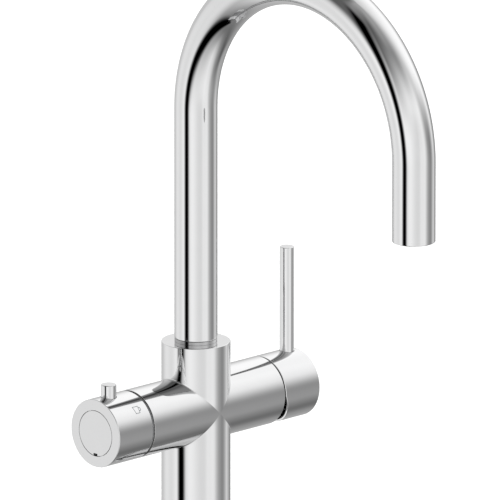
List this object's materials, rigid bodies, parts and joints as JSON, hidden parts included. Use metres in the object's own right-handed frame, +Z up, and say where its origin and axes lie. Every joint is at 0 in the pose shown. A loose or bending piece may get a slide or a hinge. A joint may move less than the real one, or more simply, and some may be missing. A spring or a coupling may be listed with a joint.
{
  "type": "boiling water tap",
  "caption": "Deck-mounted tap with a swivelling swan-neck spout, a push-and-turn boiling-water knob and a side mixer lever on a cross barrel.",
  "frame": {"origin": "centre of the base on the worktop's upper face, on the column's axis", "axes": "+Z up along the column, spout towards -Y (the user), boiling-water knob on -X, mixer lever on +X"},
  "size_m": [0.1948, 0.2534, 0.4862],
  "materials": {
    "chrome": "polished chrome plate on brass",
    "brass": "machined brass",
    "steel": "plain stainless steel",
    "rubber": "matt sealing rubber",
    "bearing_plastic": "grey moulded plastic",
    "valve_plastic": "off-white moulded plastic",
    "ceramic": "lapped alumina ceramic"
  },
  "bodies": {
    "tap_body": {"body_casting": "chrome", "base_ring": "chrome", "base_gasket": "rubber", "mounting_shank": "brass", "deck_washer_rubber": "rubber", "deck_washer_steel": "steel", "shank_nut": "brass", "spout_set_screw": "steel", "swivel_ring": "bearing_plastic", "boiling_tube_oring": "rubber", "mixer_cartridge_housing": "valve_plastic", "mixer_base_seal": "rubber", "mixer_cartridge_base": "valve_plastic", "mixer_fixed_disc": "ceramic", "cartridge_nut": "brass", "boiling_valve_housing": "brass", "boiling_valve_seal": "rubber", "boiling_fixed_disc": "ceramic", "stop_ring": "steel"},
    "spout": {"spout_tube": "chrome", "spout_sleeve": "brass", "spout_oring_lower": "rubber", "spout_oring_upper": "rubber", "boiling_tube": "steel", "aerator_housing": "bearing_plastic", "aerator_grille": "bearing_plastic", "aerator_oring": "rubber", "boiling_nozzle": "steel"},
    "mixer_carrier": {"cartridge_carrier": "valve_plastic", "stem_pin": "steel"},
    "mixer_disc": {"mixer_moving_disc": "ceramic"},
    "mixer_handle": {"mixer_stem": "brass", "mixer_handle_shell": "chrome", "lever_rod": "chrome", "handle_set_screw": "steel", "set_screw_plug": "bearing_plastic"},
    "boiling_stem": {"boiling_spindle": "brass", "boiling_moving_disc": "ceramic", "spindle_oring": "rubber", "knob_screw": "steel", "knob_washer": "steel"},
    "boiling_knob": {"boiling_knob_shell": "chrome", "boiling_knob_pin": "chrome", "knob_hub_insert": "valve_plastic", "knob_cover_disc": "chrome", "push_spring": "steel"}
  },
  "joints": [
    {"name": "spout_swivel", "type": "hinge", "parent": "tap_body", "child": "spout", "pos_m": [0, 0, 0.138], "axis": [0, 0, 1], "range_deg": [-75, 75]},
    {"name": "mixer_turn", "type": "hinge", "parent": "tap_body", "child": "mixer_carrier", "pos_m": [0.056, 0, 0.09], "axis": [1, 0, 0], "range_deg": [-45, 45]},
    {"name": "mixer_tilt", "type": "hinge", "parent": "mixer_carrier", "child": "mixer_handle", "pos_m": [0.056, 0, 0.09], "axis": [0, 1, 0], "range_deg": [0, 18]},
    {"name": "mixer_disc_slide", "type": "slide", "parent": "mixer_carrier", "child": "mixer_disc", "axis": [0, 0, 1], "range_m": [0, 0.00285]},
    {"name": "boiling_turn", "type": "hinge", "parent": "tap_body", "child": "boiling_stem", "pos_m": [-0.056, 0, 0.09], "axis": [1, 0, 0], "range_deg": [0, 90]},
    {"name": "boiling_push", "type": "slide", "parent": "boiling_stem", "child": "boiling_knob", "axis": [1, 0, 0], "range_m": [0, 0.0014], "stiffness_N_per_m": 3000, "springref_m": -0.003, "deforming": ["push_spring"]}
  ],
  "couplings": [
    {"joint": "mixer_disc_slide", "follows": "mixer_tilt", "m_per_rad": 0.009}
  ]
}
